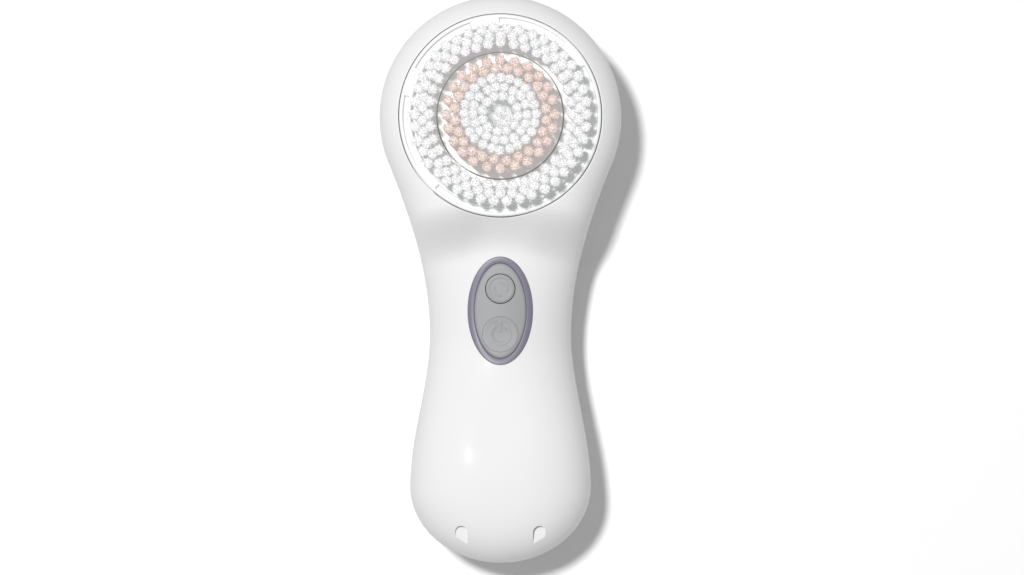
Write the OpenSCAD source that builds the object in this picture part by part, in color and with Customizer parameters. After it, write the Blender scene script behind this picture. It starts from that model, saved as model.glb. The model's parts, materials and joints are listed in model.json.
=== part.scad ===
/* [Body outline] */
// Width of the round head across its collar
head_w = 60; // [58:1:72]
// Distance from the head's centre down to the widest line of the belly
handle_len = 91.9; // [88:0.1:112]
// Width of the belly
belly_w = 45.2; // [44:0.2:56]
// Length of the rounded end beyond the belly's widest line
base_cap_len = 19.1; // [17:0.1:24]
// Width of the handle at its waist
waist_w = 35.4; // [35:0.2:42]
// Distance from the head's centre down to the waist
waist_drop = 53.9; // [50:0.1:58]
// How far below the head's level centre line the neck leaves the circle, in degrees
neck_angle = 22.5; // [15:7.5:30]

/* [Body depth] */
// Height of the belly's crown above the back
belly_top = 38; // [36:0.5:46]
// Height of the waist's front above the back
waist_top = 33; // [33:0.5:36]
// Height that the head's dome would reach without its socket
head_top = 43; // [42:0.5:44]
// Distance from the head's centre at which the neck begins to rise
neck_rise_drop = 34; // [33:0.5:36]
// Length over which the neck rises to the head
neck_rise_len = 17; // [16:0.5:20]
// Squareness of the head's dome
head_power = 3.5; // [3:0.1:3.8]
// Squareness of the belly and the base
belly_power = 3.2; // [2.8:0.1:3.4]
// How far the waist's back is raised off the table
waist_lift = 3; // [0:0.5:3]
// How much the rounded back would reach below its flat resting patches
back_crown = 0.6; // [0.2:0.1:0.9]
// Height of the parting line along the handle
handle_mid_z = 18; // [17:0.5:20]
// Height of the parting line round the head
head_mid_z = 26; // [25:0.5:27]
// Wall of both shells
wall = 2; // [1.6:0.1:2.4]
// Width of the outer lip of the parting line
seam_lip = 0.8; // [0.6:0.1:1]

/* [Brush socket and head] */
// Radius of the brush head's retainer ring
ring_r = 24.8; // [20:0.1:26]
// Gap between the retainer ring and the opening in the front shell
ring_gap = 0.4; // [0.4:0.1:0.8]
// Width of the ring's grip band
grip_w = 2.9; // [2:0.1:3.2]
// Height of the ring's top above the back
ring_top = 40.5; // [40:0.5:42]
// Number of grip tabs round the ring
grip_tabs = 6; // [3:1:8]
// Angle that one grip tab covers, in degrees
tab_angle = 17; // [10:1:24]
// Place of the first grip tab, in degrees from the right
tab_start = 31; // [0:1:59]
// Depth of the finger recesses between the tabs
recess_depth = 1.6; // [1:0.1:2.4]
// Number of bayonet lugs
lug_count = 3; // [2:1:4]
// Angle that the head turns to lock, in degrees
lock_turn = 20; // [15:1:30]
// Radius of the moving inner brush plate
inner_plate_r = 15.4; // [12.8:0.1:16]
// Gap between the inner plate and the outer one
plate_gap = 0.4; // [0.4:0.1:0.8]
// Height of the inner plate's face above the back
inner_face_z = 38; // [37.5:0.1:39]
// Height of the outer plate's face above the back
outer_face_z = 37; // [36.5:0.1:38]
// Height of the inner tufts' tips above the back
inner_tip_z = 51; // [48:0.5:54]
// Height of the outer tufts' tips above the back
outer_tip_z = 49; // [46:0.5:52]
// Radius of one tuft of bristles
tuft_r = 0.85; // [0.6:0.05:0.95]
// Distance between the tufts of one row
tuft_pitch = 3; // [2.4:0.1:4]
// Distance between two rows of tufts
row_pitch = 1.75; // [1.7:0.05:2.6]
// Number of tufts in each of the two pink rows
pink_count = 24; // [18:6:30]

/* [Drive] */
// Radius of the drive shaft
shaft_r = 2.5; // [2:0.1:3]
// Outer radius of the shaft bearings
bearing_r = 5; // [4.4:0.1:5.4]
// Radius of the hub's round neck
hub_neck_r = 5.5; // [5:0.1:6]
// Radius of the hub's six-sided head across its corners
hub_key_r = 6.6; // [6.2:0.1:7]
// Reach of the armature from the shaft's axis to the magnets' faces
armature_reach = 18.5; // [16:0.5:19]
// Air gap between the magnets' sweep and the stator's poles
air_gap = 0.8; // [0.6:0.1:1.2]

/* [Buttons and electronics] */
// Distance from the head's centre down to the button panel's centre
panel_drop = 48; // [46:0.5:50]
// Width of the button panel's bezel
bezel_w = 16.2; // [15:0.2:17]
// Length of the button panel's bezel
bezel_len = 26.8; // [25:0.2:28]
// Width of the bezel's rim
bezel_rim = 1.65; // [1.4:0.05:1.8]
// Radius of the speed button
speed_r = 3.6; // [3:0.1:3.8]
// Radius of the power button
power_r = 4.4; // [4:0.1:4.5]
// Distance from the panel's centre up to the speed button
speed_offset = 5.45; // [5:0.05:6]
// Distance between the two buttons' centres
button_pitch = 11.25; // [11:0.05:12]
// Travel of a button
button_travel = 0.5; // [0.3:0.05:0.5]
// Radius of the battery cell
cell_r = 7; // [5.8:0.1:7.2]
// Length of the battery cell
cell_len = 50; // [44:0.5:50]
// Width of a charger locating slot
slot_w = 3; // [2.5:0.1:3.5]
// Distance between the two locating slots
slot_pitch = 19.2; // [18:0.1:21]

/* [Hidden] */
$fn = 64;

// Places along the length: the origin is under the middle of the whole length.
head_r = head_w / 2;
belly_r = belly_w / 2;
waist_r = waist_w / 2;
total_len = head_r + handle_len + base_cap_len;
head_y = total_len / 2 - head_r;
belly_y = head_y - handle_len;
waist_y = head_y - waist_drop;
neck_y = head_y - head_r * sin(neck_angle);
neck_r = head_r * cos(neck_angle);
neck_slope = tan(neck_angle);
neck_rise_y = head_y - neck_rise_drop;
panel_y = head_y - panel_drop;
speed_y = panel_y + speed_offset;
power_y = speed_y - button_pitch;

// Shape of the loft: squareness of the waist and the back, and the grid it is cut into.
waist_power = 2.2;
back_power = 2.5;
fan_step = 7.5;
rib_count = 14;
rib_bunch = 1.4;
meridian_rows = 9;

// Clearances.
seam_half = 0.04;
groove_half = 0.55;
gasket_gap = 0.05;
slide_gap = 0.3;
run_gap = 0.04;
button_gap = 0.2;
seat_gap = 0.1;
touch_gap = 0.02;
eps = 0.01;
far = 200;

// The round socket insert, and the collar inside the front shell that it sits in.
socket_r = ring_r + ring_gap;
collar_r = socket_r + 1.8;
collar_top = top_z(head_y - collar_r) - wall / 2;
collar_lip = top_z(head_y - socket_r) - wall / 2;
cup_wall_r = socket_r - seat_gap;
cup_flange_r = socket_r + 1.6;
cup_bottom = 22;
cup_floor = 24;
cup_top = 33.5;
lip_bottom = 31.5;
skirt_r = ring_r - 2.4;
lip_r = skirt_r + slide_gap;
chamber_r = lip_r + 1.3;
lug_r = chamber_r - slide_gap;
entry_r = chamber_r - 0.05;
lug_h = 1.6;
lug_top = lip_bottom - 0.25;
lug_angle = 16;
entry_angle = 22;
stop_angle = 4;
socket_boss_r = bearing_r + 2;
socket_boss_bottom = 18;
o_ring_z = 29;
o_ring_h = 1.2;
o_ring_depth = 0.7;
seal_r = 9;
seal_top = 25;
clamp_r = 12.2;
clamp_top = 26.2;
clamp_screw_r = 10.6;
screw_r = 1;
screw_head_r = 1.7;
screw_head_h = 1;

// The brush head.
ring_bottom = cup_top + slide_gap;
ring_inner_r = ring_r - grip_w;
recess_rim = 0.8;
skirt_bottom = 25.5;
skirt_wall = 1.5;
skirt_inner_r = skirt_r - skirt_wall;
ring_seat_z = outer_face_z - 3.4;
outer_plate_inner_r = inner_plate_r + plate_gap;
bearing_outer_r = outer_plate_inner_r - 0.05;
bearing_wall = 2.2;
bearing_inner_r = bearing_outer_r - bearing_wall;
bearing_bottom = 29;
bearing_top = 32.6;
housing_r = bearing_outer_r + 1.1;
housing_bottom = 28.2;
stem_r = bearing_inner_r - run_gap;
stem_bottom = 28.4;
clip_bottom = 27.4;
clip_r = bearing_outer_r - 0.6;
socket_key_r = hub_key_r + 0.15;
drive_socket_r = hub_key_r + 2.6;
drive_socket_bottom = 28;
drive_socket_top = 34.8;
plate_under_z = 35.4;
guide_count = 6;
outer_row_last = ring_inner_r - tuft_r - 0.1;
outer_row_span = outer_row_last - (outer_plate_inner_r + tuft_r + 0.15);
outer_rows = [for (r = [outer_row_last:-row_pitch:outer_row_last - outer_row_span]) r];
pink_rows = [inner_plate_r - 1.8, inner_plate_r - 3.8];
clear_row_count = 4;
clear_pitch = 2.4;
clear_row_step = (pink_rows[1] - clear_pitch) / clear_row_count;
clear_rows = [for (k = [1:clear_row_count]) k * clear_row_step];

// The drive.
frame_bottom = 5;
frame_top = 6.8;
frame_r = 16;
frame_boss_r = bearing_r + 1.8;
frame_boss_top = 11.4;
frame_hole = [8.6, 9.2];
boss_r = 2.6;
boss_root = 2.1;
shaft_bottom = 7.2;
shaft_top = 32;
arm_bottom = 12;
arm_top = 16.6;
arm_w = 8;
arm_hub_r = 6;
magnet_size = [4.6, 3, 6.4];
core_bottom = 10.4;
core_top = 17.2;
core_w = 24;
core_leg = 6;
core_side_leg = 3;
core_back = 3.6;
core_len = 12.4;
pole_y = head_y - norm([armature_reach, magnet_size[0]]) - air_gap;
core_y = pole_y - core_len;
bobbin_wall = 0.6;
bobbin_y0 = core_y + core_back + seat_gap;
bobbin_y1 = pole_y - 1.2;
winding = 2.2;
spring_y = head_y - 9;
spring_post_x = 10.6;
spring_t = 0.3;

// The electronics.
board_size = [18, 43.5, 1.2];
board_y = head_y - 74.5;
board_z = 24;
board_top = board_z + board_size[2];
board_hole_x = 6.8;
board_holes_y = [board_y + 5, board_y + 41];
switch_size = 6;
switch_top = board_top + 3.2;
plunger_r = 1.7;
plunger_top = switch_top + 1.2;
plunger_bottom = switch_top - 0.4;
pad_bottom = 30.2;
button_stem_r = 2;
button_bottom = 30.6;
bezel_flange = 1.3;
bezel_bottom = 27.4;
bezel_flange_top = 28.3;
bezel_stand = 0.25;
pad_stand = 0.5;
button_stand = 0.4;
dish_depth = 0.5;
cell_y = head_y - 88.5;
cradle_bottom = 6.2;
cell_z = cradle_bottom + 1.4 + cell_r;
contact_half = cell_r - 2.1;
lead_z = cell_z + contact_half - 0.3;
coil_r = 10;
coil_y = belly_y - 0.6;
coil_z = 30.6;
magnet_r = 1.9;
magnet_h = 3;
magnet_shift = 0.6;
slot_y = belly_y - 10.4;
slot_z = belly_top - 3.5;
slot_tilt = 5;
pocket_wall = 1.2;
pocket_z = coil_z + 0.7;
wire_r = 0.4;

shell_white = [0.95, 0.95, 0.955];
frost = [0.9, 0.91, 0.92];
pad_grey = [0.65, 0.655, 0.66];
bezel_lavender = [0.55, 0.53, 0.61];
tuft_pink = [0.9, 0.77, 0.72];
steel = [0.72, 0.73, 0.75];
copper = [0.78, 0.46, 0.26];
nylon = [0.86, 0.86, 0.84];
dark_rubber = [0.2, 0.2, 0.22];

// Smooth step, and a straight mix of two values.
function ease(t) = let (u = min(1, max(0, t))) u * u * (3 - 2 * u);
function mix(a, b, t) = a + (b - a) * t;

// Half width of the outline at a place along the handle.
function neck_t(y) = (y - waist_y) / (neck_y - waist_y);
function half_width(y) = y >= waist_y
  ? mix(waist_r, neck_r, ease(neck_t(y)))
    + neck_slope * (neck_y - waist_y) * (pow(neck_t(y), 3) - pow(neck_t(y), 2))
  : mix(waist_r, belly_r, ease((waist_y - y) / (waist_y - belly_y)));
function width_slope(y) = (half_width(y + eps) - half_width(y - eps)) / (2 * eps);

// Heights of the front, the back and the parting line above a place on the spine.
function neck_rise(y) = ease((y - neck_rise_y) / neck_rise_len);
function top_z(y) = y >= waist_y
  ? mix(waist_top, head_top, neck_rise(y))
  : mix(waist_top, belly_top, ease((waist_y - y) / (waist_y - belly_y)));
function back_z(y) = y >= waist_y
  ? mix(waist_lift, -back_crown, ease((y - waist_y) / (head_y - waist_y)))
  : mix(waist_lift, -back_crown, ease((waist_y - y) / (waist_y - belly_y)));
function mid_z(y) = mix(handle_mid_z, head_mid_z, ease((y - waist_y) / (head_y - waist_y)));

// How many tufts a row takes, in steps so that its guide tufts share it evenly.
function row_count(radius, pitch, share) = share * round(2 * PI * radius / pitch / share);

// Squareness of the front along the spine.
function front_power(y) = y >= waist_y
  ? mix(waist_power, head_power, neck_rise(y))
  : mix(waist_power, belly_power, ease((waist_y - y) / (waist_y - belly_y)));

// Height of the front surface above a point of the handle.
function front_z(x, y) = mid_z(y) + (top_z(y) - mid_z(y))
  * pow(1 - pow(abs(x) / half_width(y), front_power(y)), 1 / front_power(y));

// Columns run round the outline: the head's fan, the left ribs, the base's fan, the right ribs.
head_fan = (180 + 2 * neck_angle) / fan_step;
base_fan = 180 / fan_step;
left_rib = head_fan + rib_count;
right_rib = left_rib + base_fan;
columns = right_rib + rib_count;
function rib_y(k) = mix(neck_y, belly_y, pow(k / rib_count, rib_bunch));
function rib_of(c) = c <= head_fan ? 0
  : c <= left_rib ? c - head_fan
  : c <= right_rib ? rib_count
  : columns - c;
function edge_point(c) = c <= head_fan
  ? [head_r * cos(c * fan_step - neck_angle), head_y + head_r * sin(c * fan_step - neck_angle)]
  : c < left_rib ? [-half_width(rib_y(rib_of(c))), rib_y(rib_of(c))]
  : c <= right_rib
    ? [belly_r * cos(180 + (c - left_rib) * fan_step),
       belly_y + base_cap_len * sin(180 + (c - left_rib) * fan_step)]
  : [half_width(rib_y(rib_of(c))), rib_y(rib_of(c))];
function rib_spine(k) = k == 0 ? head_y : k == rib_count ? belly_y
  : rib_y(k) + half_width(rib_y(k)) * width_slope(rib_y(k));
function spine_y(c) = rib_spine(rib_of(c));

// A point of the loft: side is 1 for the front and -1 for the back, and step is
// [inset from the outer surface, lift off the parting line, angle up the section].
function section_power(y, side) = side > 0 ? front_power(y) : back_power;
function crown(y, side) = side > 0 ? top_z(y) - mid_z(y) : mid_z(y) - back_z(y);
function loft_point(c, step, side) = let (
    spine = [0, spine_y(c)],
    reach = edge_point(c) - spine,
    shrink = 1 - step[0] / norm(reach),
    out = pow(max(0, cos(step[2])), 2 / section_power(spine[1], side)),
    up = pow(sin(step[2]), 2 / section_power(spine[1], side)),
    rise = step[1] + (crown(spine[1], side) - step[0] - step[1]) * up,
    place = spine + reach * shrink * out
  ) [place[0], place[1], mid_z(spine[1]) + side * rise];
function spine_point(k, step, side) = let (y = rib_spine(k))
  [0, y, mid_z(y) + side * (crown(y, side) - step[0])];

// A closed skin: its first and last steps lie on the spine.
module skin(steps, side) {
  last = len(steps) - 1;
  grid = [for (r = [1:last - 1], c = [0:columns - 1]) loft_point(c, steps[r], side)];
  first_spine = [for (k = [0:rib_count]) spine_point(k, steps[0], side)];
  last_spine = [for (k = [0:rib_count]) spine_point(k, steps[last], side)];
  spine_start = len(grid);
  end_start = spine_start + rib_count + 1;
  band = [
    for (r = [0:last - 3], c = [0:columns - 1])
      let (d = (c + 1) % columns, a = r * columns, b = a + columns)
        each [[a + c, a + d, b + d], [a + c, b + d, b + c]]
  ];
  rim = (last - 2) * columns;
  caps = [
    for (c = [0:columns - 1])
      let (d = (c + 1) % columns, p = rib_of(c), q = rib_of(d))
        each concat(
          [[spine_start + q, d, c], [end_start + q, rim + c, rim + d]],
          p == q ? [] : [[spine_start + p, spine_start + q, c], [end_start + p, rim + c, end_start + q]]
        )
  ];
  faces = concat(band, caps);
  polyhedron(concat(grid, first_spine, last_spine),
    side > 0 ? faces : [for (f = faces) [f[2], f[1], f[0]]], convexity = 8);
}

function meridian(inset, lift, down) = [
  for (j = [0:meridian_rows])
    [inset, lift, 90 * (down ? meridian_rows - j : j) / meridian_rows]
];
shell_steps = concat(
  meridian(0, seam_half, true),
  [[seam_lip, seam_half, 0], [seam_lip, groove_half, 0]],
  meridian(wall, groove_half, false)
);
module shell_skin(side) {
  skin(shell_steps, side);
}

// The front half as a closed solid, grown or shrunk by an inset.
module front_form(inset) {
  skin(concat(meridian(inset, 0, true), [[inset + 3, 0, 0], [inset + 12, 0, 90]]), 1);
}

module at_head() {
  translate([0, head_y, 0]) children();
}

module tube(r_out, r_in, z0, z1) {
  translate([0, 0, z0]) difference() {
    cylinder(r = r_out, h = z1 - z0);
    translate([0, 0, -eps]) cylinder(r = r_in, h = z1 - z0 + 2 * eps);
  }
}

module disc(r, z0, z1) {
  translate([0, 0, z0]) cylinder(r = r, h = z1 - z0);
}

module block(size, x, y, z) {
  translate([x - size[0] / 2, y - size[1] / 2, z]) cube(size);
}

// A pie slice of a tube, centred on an angle.
module arc_block(r_out, r_in, z0, z1, middle, spread) {
  rotate([0, 0, middle - spread / 2]) translate([0, 0, z0])
    rotate_extrude(angle = spread)
      translate([r_in, 0]) square([r_out - r_in, z1 - z0]);
}

function ellipse(a, b) = [for (i = [0:5:355]) [a * cos(i), b * sin(i)]];
module panel_prism(grow, z0, z1) {
  translate([0, panel_y, z0]) linear_extrude(z1 - z0)
    polygon(ellipse(bezel_w / 2 + grow, bezel_len / 2 + grow));
}

// A wire with eight sides through a list of points.
wire_sides = 8;
function wire_dir(p, i) = let (
    a = p[max(0, i - 1)], b = p[min(len(p) - 1, i + 1)]
  ) (b - a) / norm(b - a);
module wire(p) {
  points = [
    for (i = [0:len(p) - 1]) let (
        d = wire_dir(p, i), u = [1, 0, 0], v = cross(d, u) / norm(cross(d, u)), w = cross(v, d)
      ) for (s = [0:wire_sides - 1]) let (a = 360 * s / wire_sides)
        p[i] + wire_r * (cos(a) * v + sin(a) * w)
  ];
  end = (len(p) - 1) * wire_sides;
  sides = [
    for (i = [0:len(p) - 2], s = [0:wire_sides - 1])
      let (t = (s + 1) % wire_sides, a = i * wire_sides, b = a + wire_sides)
        each [[a + s, b + s, b + t], [a + s, b + t, a + t]]
  ];
  polyhedron(points, concat(sides,
    [[for (s = [0:wire_sides - 1]) s], [for (s = [wire_sides - 1:-1:0]) end + s]]));
}

// Two wires side by side, mirrored left and right.
module wire_pair(p) {
  wire(p);
  mirror([1, 0, 0]) wire(p);
}

module charger_slot(x) {
  translate([x, slot_y, slot_z]) rotate([slot_tilt, 0, 0]) {
    cylinder(d = slot_w, h = far / 10);
    translate([-slot_w / 2, -slot_w * 3, 0]) cube([slot_w, slot_w * 3, far / 10]);
  }
}

// A boss behind a slot, so that the slot stays closed towards the inside.
module slot_pocket(x) {
  length = slot_w + 2 * pocket_wall;
  intersection() {
    block([length, length, slot_z + pocket_wall - pocket_z], x, slot_y, pocket_z);
    front_form(wall / 2);
  }
}

module screw(x, y, z_head, z_tip) {
  up = z_tip > z_head ? 1 : -1;
  translate([x, y, z_head]) rotate([up > 0 ? 0 : 180, 0, 0]) {
    translate([0, 0, -screw_head_h]) cylinder(r = screw_head_r, h = screw_head_h);
    translate([0, 0, -eps]) cylinder(r = screw_r, h = abs(z_tip - z_head) + eps);
  }
}

module at_board_holes() {
  for (x = [-board_hole_x, board_hole_x], y = board_holes_y) translate([x, y, 0]) children();
}

module front_shell() {
  color(shell_white) difference() {
    union() {
      shell_skin(1);
      at_head() disc(collar_r, cup_floor + gasket_gap, collar_top);
      at_head() translate([0, 0, collar_top - eps])
        cylinder(r1 = collar_r, r2 = socket_r - seat_gap, h = collar_lip - collar_top);
      for (side = [-1, 1]) slot_pocket(side * slot_pitch / 2);
      for (x = [-board_hole_x, board_hole_x], y = board_holes_y)
        translate([x, y, 0]) disc(boss_r, board_top, front_z(x, y) - wall + 1);
    }
    at_head() disc(socket_r, 0, far);
    panel_prism(touch_gap, 0, far);
    at_board_holes() disc(screw_r, 0, board_top + 3.8);
    for (side = [-1, 1]) charger_slot(side * slot_pitch / 2);
  }
}

module at_frame_holes() {
  for (x = [-frame_hole[0], frame_hole[0]], y = [-frame_hole[1], frame_hole[1]])
    translate([x, head_y + y, 0]) children();
}

// A rib that stands on the inside of the back and carries the battery cradle.
module cradle_rib(y) {
  root = back_z(y) + wall - 0.6;
  block([12, 3, cradle_bottom - root], 0, y, root);
}

module rear_shell() {
  color(shell_white) difference() {
    union() {
      shell_skin(-1);
      at_frame_holes() disc(boss_r, boss_root, frame_bottom);
      for (y = [belly_y + 12, waist_y + 5]) cradle_rib(y);
    }
    translate([-far / 2, -far / 2, -far]) cube([far, far, far]);
    at_frame_holes() disc(screw_r, boss_root + 0.3, far);
  }
}

// A ring of square section that fills the groove inside the parting line.
module shell_gasket() {
  steps = [
    [seam_lip + gasket_gap, gasket_gap - groove_half],
    [seam_lip + gasket_gap, groove_half - gasket_gap],
    [wall - gasket_gap, groove_half - gasket_gap],
    [wall - gasket_gap, gasket_gap - groove_half]
  ];
  points = [for (s = steps, c = [0:columns - 1]) loft_point(c, [s[0], s[1], 0], 1)];
  faces = [
    for (r = [0:3], c = [0:columns - 1])
      let (d = (c + 1) % columns, a = r * columns, b = ((r + 1) % 4) * columns)
        each [[a + c, b + c, b + d], [a + c, b + d, a + d]]
  ];
  color(dark_rubber) polyhedron(points, faces, convexity = 4);
}

// The cup that takes the brush head: floor, bearing boss, wall, bayonet lips and their stops.
module brush_socket() {
  color(shell_white) at_head() {
    socket_body();
    for (i = [0:lug_count - 1])
      arc_block(chamber_r + 0.2, lip_r + touch_gap, lug_top - lug_h, lip_bottom + 0.4,
        i * 360 / lug_count - lock_turn - (lug_angle + stop_angle) / 2 - 1, stop_angle);
  }
}

module socket_body() {
  difference() {
    rotate([0, 0, 30]) rotate_extrude() polygon([
      [bearing_r, socket_boss_bottom], [socket_boss_r, socket_boss_bottom],
      [socket_boss_r, cup_bottom], [cup_flange_r, cup_bottom], [cup_flange_r, cup_floor],
      [cup_wall_r, cup_floor], [cup_wall_r, cup_top], [lip_r, cup_top], [lip_r, lip_bottom],
      [chamber_r, lip_bottom], [chamber_r, cup_floor], [hub_neck_r + slide_gap, cup_floor],
      [hub_neck_r + slide_gap, cup_bottom + 0.6], [bearing_r, cup_bottom + 0.6]
    ]);
    for (i = [0:lug_count - 1])
      arc_block(entry_r, lip_r - 1, lip_bottom - 1, far, i * 360 / lug_count, entry_angle);
    for (i = [0:2]) rotate([0, 0, 60 + i * 120])
      translate([clamp_screw_r, 0, cup_bottom + 0.4]) cylinder(r = screw_r, h = wall);
    tube(cup_wall_r + 1, cup_wall_r - o_ring_depth, o_ring_z, o_ring_z + o_ring_h);
  }
}

module socket_o_ring() {
  color(dark_rubber) at_head()
    tube(cup_wall_r, cup_wall_r - o_ring_depth + touch_gap, o_ring_z + touch_gap,
      o_ring_z + o_ring_h - touch_gap);
}

module hub_seal() {
  lip = 0.6;
  color(dark_rubber) at_head() rotate_extrude() polygon([
    [hub_neck_r + run_gap, seal_top - 0.3], [hub_neck_r + lip, cup_floor + touch_gap],
    [seal_r, cup_floor + touch_gap], [seal_r, seal_top], [hub_neck_r + run_gap, seal_top]
  ]);
}

module seal_clamp_ring() {
  color(nylon) at_head() difference() {
    tube(clamp_r, hub_neck_r + 1, seal_top + touch_gap, clamp_top);
    tube(clamp_r + 1, seal_r + touch_gap, 0, seal_top - 1);
    for (i = [0:2]) rotate([0, 0, 60 + i * 120])
      translate([clamp_screw_r, 0, 0]) cylinder(r = screw_r + touch_gap, h = far);
  }
}

module seal_screws() {
  color(steel) at_head() for (i = [0:2]) rotate([0, 0, 60 + i * 120])
    screw(clamp_screw_r, 0, clamp_top, cup_bottom + 0.6);
}

// The oval bezel: its rim follows the front and its flange hooks behind the shell.
module button_bezel() {
  color(bezel_lavender) difference() {
    union() {
      intersection() {
        panel_prism(0, bezel_bottom, far / 4);
        front_form(-bezel_stand);
      }
      panel_prism(bezel_flange, bezel_bottom, bezel_flange_top);
    }
    panel_prism(-bezel_rim, pad_bottom - 0.8, far);
    panel_prism(-bezel_rim - 0.9, 0, far);
  }
}

module button_pad() {
  color(pad_grey) difference() {
    intersection() {
      panel_prism(-bezel_rim - touch_gap, pad_bottom - 0.7, far / 4);
      front_form(-pad_stand);
    }
    translate([0, speed_y, 0]) disc(speed_r + button_gap, 0, far);
    translate([0, power_y, 0]) disc(power_r + button_gap, 0, far);
  }
}

module button_stem(y) {
  translate([0, y, 0]) disc(button_stem_r, plunger_top + touch_gap, button_bottom + eps);
}

module speed_button() {
  height = waist_top + pad_stand + button_stand;
  color(pad_grey) {
    translate([0, speed_y, 0]) difference() {
      disc(speed_r, button_bottom, height);
      tube(speed_r - 0.6, speed_r - 0.9, height - 0.2, height + 1);
    }
    button_stem(speed_y);
  }
}

module power_button() {
  dish_r = 24;
  height = waist_top + pad_stand;
  color(pad_grey) {
    translate([0, power_y, 0]) difference() {
      disc(power_r, button_bottom, height);
      translate([0, 0, height + dish_r - dish_depth]) sphere(r = dish_r);
    }
    button_stem(power_y);
  }
}

module tact_switch(y) {
  color(dark_rubber) difference() {
    block([switch_size, switch_size, switch_top - board_top - touch_gap], 0, y, board_top + touch_gap);
    translate([0, y, 0]) disc(plunger_r + seat_gap, plunger_bottom - button_travel - 0.3, far);
  }
}

module plunger(y) {
  color(nylon) translate([0, y, 0]) disc(plunger_r, plunger_bottom, plunger_top);
}

module speed_switch() {
  tact_switch(speed_y);
}

module power_switch() {
  tact_switch(power_y);
}

module speed_plunger() {
  plunger(speed_y);
}

module power_plunger() {
  plunger(power_y);
}

module circuit_board() {
  color([0.13, 0.4, 0.24]) difference() {
    block(board_size, 0, board_y + board_size[1] / 2, board_z);
    at_board_holes() disc(screw_r + touch_gap, 0, far);
  }
}

module board_components() {
  top = board_top + touch_gap;
  color([0.15, 0.15, 0.17]) {
    block([7, 7, 1], 0, board_y + 14, top);
    block([4, 3, 1.1], -5.6, board_y + 20.5, top);
    block([3, 4, 1.6], 5.8, board_y + 20, top);
    for (i = [0:3]) block([1, 0.6, 0.5], -5.5 + i * 3.6, board_y + 9, top);
    translate([5, board_y + 10, top]) cylinder(r = 1.4, h = 2);
  }
}

module status_leds() {
  color([0.95, 0.95, 0.85])
    for (x = [-4.4, 4.4]) block([1.2, 2, 0.8], x, panel_y, board_top + touch_gap);
}

module board_screws() {
  color(steel) for (x = [-board_hole_x, board_hole_x], y = board_holes_y)
    screw(x, y, board_z - touch_gap, board_top + 3.4);
}

module battery() {
  color([0.3, 0.55, 0.62]) translate([0, cell_y, cell_z]) rotate([-90, 0, 0]) {
    cylinder(r = cell_r, h = cell_len);
    cylinder(r = 2.6, h = cell_len + 0.9);
  }
}

// Spring tabs that press on the two ends of the cell.
module battery_contacts() {
  tab = [cell_r, 0.4, 2 * contact_half];
  color(steel) {
    block(tab, 0, cell_y - 0.3, cell_z - tab[2] / 2);
    block(tab, 0, cell_y + cell_len + 1.2, cell_z - tab[2] / 2);
  }
}

module battery_cradle() {
  end = [12, 2.4, cell_r + 5];
  color(nylon) difference() {
    union() {
      block([12, cell_len + 7, 6], 0, cell_y + cell_len / 2, cradle_bottom);
      block(end, 0, cell_y - 2.4, cradle_bottom);
      block(end, 0, cell_y + cell_len + 3, cradle_bottom);
    }
    translate([0, cell_y - 0.9, cell_z]) rotate([-90, 0, 0])
      cylinder(r = cell_r + seat_gap, h = cell_len + 2.5);
  }
}

module charging_coil() {
  color(copper) translate([0, coil_y, 0]) tube(coil_r, 4.4, coil_z, coil_z + 1.3);
}

module ferrite_disc() {
  color(dark_rubber) translate([0, coil_y, 0]) disc(coil_r, coil_z - 1.1, coil_z - touch_gap);
}

module coil_tray() {
  floor_z = coil_z - 1.1 - touch_gap;
  color(nylon) translate([0, coil_y, 0]) difference() {
    disc(coil_r + 1.2, floor_z - 1.2, coil_z + 0.6);
    disc(coil_r + seat_gap, floor_z, far);
    block([8, 4, far], 0, coil_r, floor_z);
  }
}

module charger_magnets() {
  color(steel) for (side = [-1, 1])
    translate([side * slot_pitch / 2, slot_y + magnet_shift, pocket_z - magnet_h - touch_gap])
      cylinder(r = magnet_r, h = magnet_h);
}

// The plate that carries the lower bearing, the stator and the spring posts.
module motor_frame() {
  post = [2, 3, core_top - frame_top];
  foot = [14, 3.6, core_bottom - frame_top];
  color(nylon) difference() {
    union() {
      at_head() disc(frame_r, frame_bottom, frame_top);
      at_head() disc(frame_boss_r, frame_bottom, frame_boss_top);
      translate([-8, core_y, frame_bottom]) cube([16, head_y - core_y - 8, frame_top - frame_bottom]);
      block(foot, 0, core_y + foot[1] / 2, frame_top - eps);
      for (x = [-1, 1]) block(post, x * (spring_post_x + post[0] / 2), spring_y, frame_top - eps);
    }
    at_head() disc(bearing_r, shaft_bottom - 0.2, far);
    at_frame_holes() disc(screw_r + touch_gap, 0, far);
  }
}

module motor_screws() {
  color(steel) for (x = [-frame_hole[0], frame_hole[0]], y = [-frame_hole[1], frame_hole[1]])
    screw(x, head_y + y, frame_top, boss_root + 0.5);
}

module lower_bearing() {
  color(steel) at_head() tube(bearing_r - touch_gap, shaft_r + run_gap, shaft_bottom, frame_boss_top);
}

module upper_bearing() {
  color(steel) at_head()
    tube(bearing_r - touch_gap, shaft_r + run_gap, socket_boss_bottom, cup_bottom + 0.4);
}

// The three-legged iron core that faces the magnets.
module stator_core() {
  h = core_top - core_bottom;
  leg_y = core_y + core_len / 2;
  color(steel) {
    block([core_w, core_back, h], 0, core_y + core_back / 2, core_bottom);
    block([core_leg, core_len, h], 0, leg_y, core_bottom);
    for (x = [-1, 1])
      block([core_side_leg, core_len, h], x * (core_w - core_side_leg) / 2, leg_y, core_bottom);
  }
}

module around_leg(grow, y0, y1) {
  h = core_top - core_bottom;
  block([core_leg + 2 * grow, y1 - y0, h + 2 * grow], 0, (y0 + y1) / 2, core_bottom - grow);
}

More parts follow.
